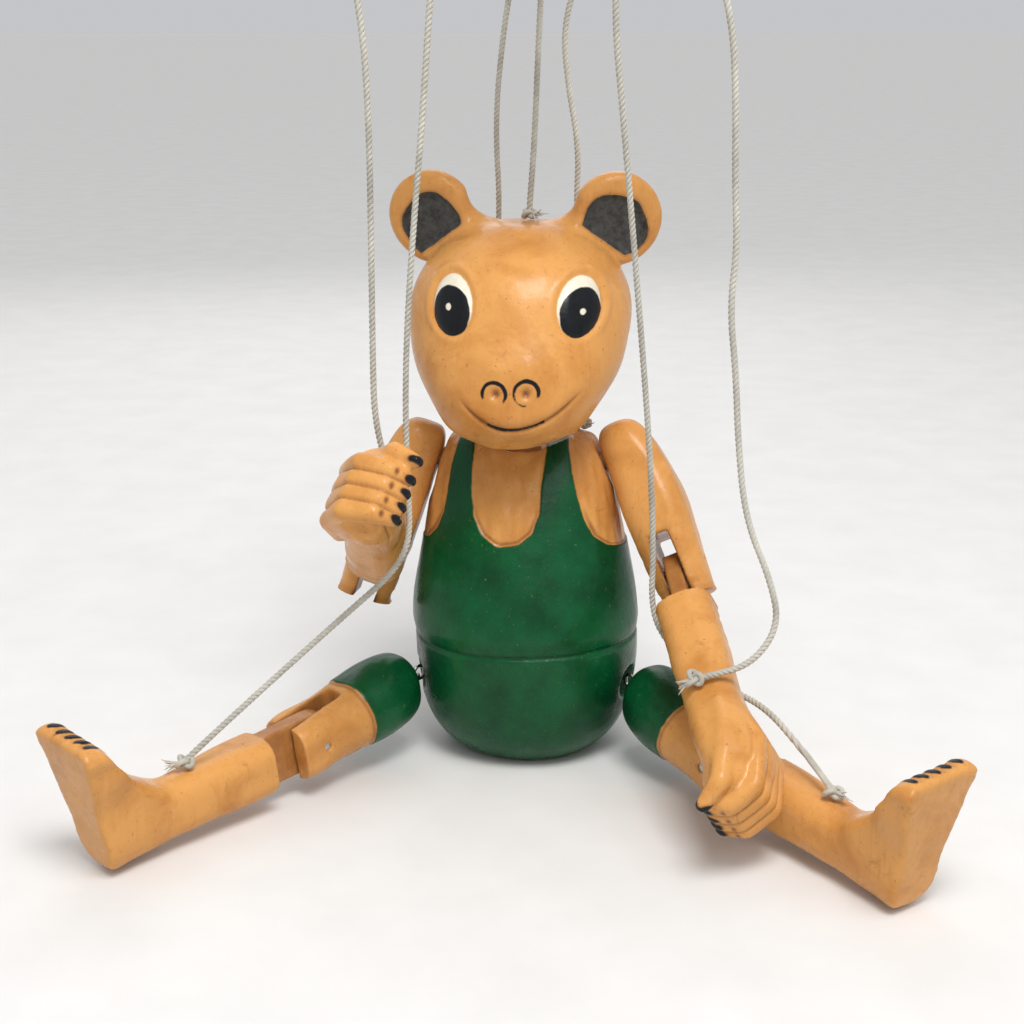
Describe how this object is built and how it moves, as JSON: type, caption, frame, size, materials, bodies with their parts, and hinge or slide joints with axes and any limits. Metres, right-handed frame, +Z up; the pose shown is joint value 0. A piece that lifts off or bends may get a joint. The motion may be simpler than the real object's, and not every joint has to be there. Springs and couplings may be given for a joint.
{
  "type": "marionette puppet",
  "caption": "Jointed wooden bear marionette, seated, hung on strings from a wooden crossbar control.",
  "frame": {"origin": "top of the vertical hanging hole in the control's main bar, on the hole's axis", "axes": "+Z up along the hanging hole, -Y the way the puppet faces, +X the puppet's left"},
  "size_m": [0.2804, 0.1978, 0.3004],
  "materials": {
    "bare_wood": "satin",
    "cotton": "matte",
    "green_paint": "gloss",
    "painted_wood": "varnished",
    "steel": "satin"
  },
  "bodies": {
    "body": {"torso": "green_paint", "hip_eye_left": "steel", "hip_eye_right": "steel", "knot_shoulder_left": "cotton", "knot_shoulder_right": "cotton", "control_main_bar": "bare_wood", "control_hand_bar": "bare_wood", "control_shoulder_bar": "bare_wood", "control_screws": "steel", "control_knots": "cotton", "string_right_hand": "cotton", "string_right_leg": "cotton", "string_right_shoulder": "cotton", "string_head": "cotton", "string_left_shoulder": "cotton", "string_left_leg": "cotton", "string_left_hand": "cotton"},
    "neck": {"neck_peg": "bare_wood"},
    "head": {"head": "painted_wood", "neck_pin": "steel", "knot_head": "cotton"},
    "arm_left": {"upper_arm_left": "painted_wood", "shoulder_peg_left": "bare_wood", "elbow_pin_left": "steel"},
    "forearm_left_body": {"forearm_left": "painted_wood", "knot_wrist_left": "cotton"},
    "thigh_left_body": {"thigh_left": "painted_wood", "thigh_eye_left": "steel", "knee_pin_left": "steel"},
    "shank_left_body": {"shank_left": "painted_wood", "knot_ankle_left": "cotton"},
    "arm_right": {"upper_arm_right": "painted_wood", "shoulder_peg_right": "bare_wood", "elbow_pin_right": "steel"},
    "forearm_right_body": {"forearm_right": "painted_wood", "knot_wrist_right": "cotton"},
    "thigh_right_body": {"thigh_right": "painted_wood", "thigh_eye_right": "steel", "knee_pin_right": "steel"},
    "shank_right_body": {"shank_right": "painted_wood", "knot_ankle_right": "cotton"}
  },
  "joints": [
    {"name": "head_turn", "type": "hinge", "parent": "body", "child": "neck", "pos_m": [-0.006, 0.017, -0.184], "axis": [0, 0, 1], "range_deg": [-25, 25], "deforming": ["string_head"]},
    {"name": "head_nod", "type": "hinge", "parent": "neck", "child": "head", "pos_m": [-0.006, 0.017, -0.156], "axis": [1, 0, 0], "range_deg": [-10, 8], "deforming": ["string_left_shoulder", "string_right_shoulder"]},
    {"name": "shoulder_left", "type": "hinge", "parent": "body", "child": "arm_left", "pos_m": [0.03212, 0.015, -0.18565], "axis": [-0.9063, 0, -0.4226], "range_deg": [0, 50], "deforming": ["string_left_hand"]},
    {"name": "elbow_left", "type": "hinge", "parent": "arm_left", "child": "forearm_left_body", "pos_m": [0.04993, -0.00465, -0.22384], "axis": [-0.9063, 0, -0.4226], "range_deg": [0, 60]},
    {"name": "hip_left", "type": "hinge", "parent": "body", "child": "thigh_left_body", "pos_m": [0.0345, 0.003, -0.269], "axis": [-0.7604, -0.6494, 0], "range_deg": [-34, 2], "deforming": ["string_left_leg"]},
    {"name": "knee_left", "type": "hinge", "parent": "thigh_left_body", "child": "shank_left_body", "pos_m": [0.06817, -0.03642, -0.28002], "axis": [0.7604, 0.6494, 0], "range_deg": [0, 90]},
    {"name": "shoulder_right", "type": "hinge", "parent": "body", "child": "arm_right", "pos_m": [-0.04401, 0.015, -0.18682], "axis": [-0.9511, 0, 0.309], "range_deg": [-45, 38], "deforming": ["string_right_hand"]},
    {"name": "elbow_right", "type": "hinge", "parent": "arm_right", "child": "forearm_right_body", "pos_m": [-0.05811, 0.00613, -0.23023], "axis": [-0.9511, 0, 0.309], "range_deg": [-54, 2]},
    {"name": "hip_right", "type": "hinge", "parent": "body", "child": "thigh_right_body", "pos_m": [-0.0425, 0.003, -0.269], "axis": [-0.7934, 0.6088, 0], "range_deg": [-34, 20], "deforming": ["string_right_leg"]},
    {"name": "knee_right", "type": "hinge", "parent": "thigh_right_body", "child": "shank_right_body", "pos_m": [-0.07427, -0.03841, -0.2782], "axis": [0.7934, -0.6088, 0], "range_deg": [0, 90]}
  ]
}
